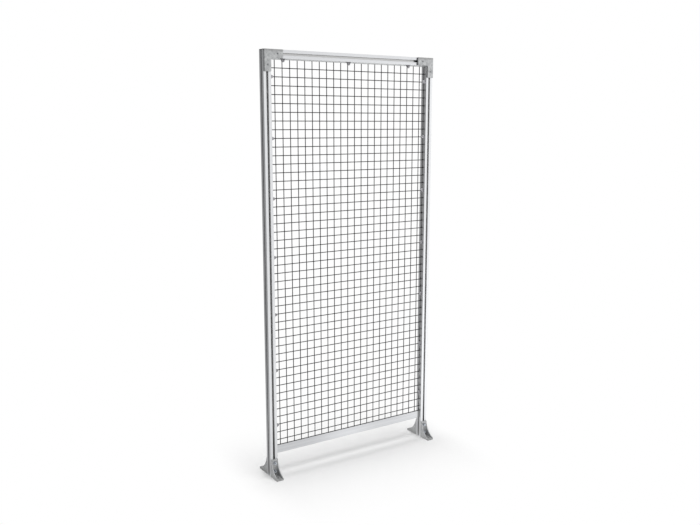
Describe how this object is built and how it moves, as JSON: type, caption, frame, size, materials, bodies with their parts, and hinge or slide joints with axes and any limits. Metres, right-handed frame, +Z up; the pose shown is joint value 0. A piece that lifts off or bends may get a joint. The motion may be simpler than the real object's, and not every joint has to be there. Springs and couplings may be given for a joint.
{
  "type": "machine guard fence panel",
  "caption": "Fixed guard fence panel: slotted aluminium posts and top rail, flat bottom rail, square wire mesh on clips, cast corner plates and floor brackets.",
  "frame": {"origin": "on the floor, midway between the posts, in the posts' middle plane, which is the centre of the four floor anchor holes", "axes": "+Z up, +X along the panel to the right seen from the front, front towards -Y"},
  "size_m": [0.976, 0.192, 2.06],
  "materials": {
    "extrusion": "satin anodised",
    "casting": "rough cast",
    "wire": "semi-matt coated",
    "clip": "moulded",
    "end_block": "moulded",
    "edging": "plain extruded",
    "cap": "moulded",
    "plate_screw": "dull zinc",
    "fastener": "zinc plated"
  },
  "bodies": {
    "root": {"left_post": "extrusion", "right_post": "extrusion", "top_rail": "extrusion", "bottom_rail": "extrusion", "left_corner_plate": "casting", "right_corner_plate": "casting", "left_front_foot": "casting", "left_rear_foot": "casting", "right_front_foot": "casting", "right_rear_foot": "casting", "mesh_vertical_wires": "wire", "mesh_horizontal_wires": "wire", "left_mesh_clips": "clip", "right_mesh_clips": "clip", "top_mesh_clips": "clip", "left_rail_end_block": "end_block", "right_rail_end_block": "end_block", "top_edging_strips": "edging", "left_post_cap": "cap", "right_post_cap": "cap", "corner_plate_screws": "plate_screw", "corner_plate_nuts": "fastener", "foot_screws": "fastener", "foot_washers": "fastener", "foot_nuts": "fastener", "rail_end_screws": "fastener"}
  },
  "joints": []
}
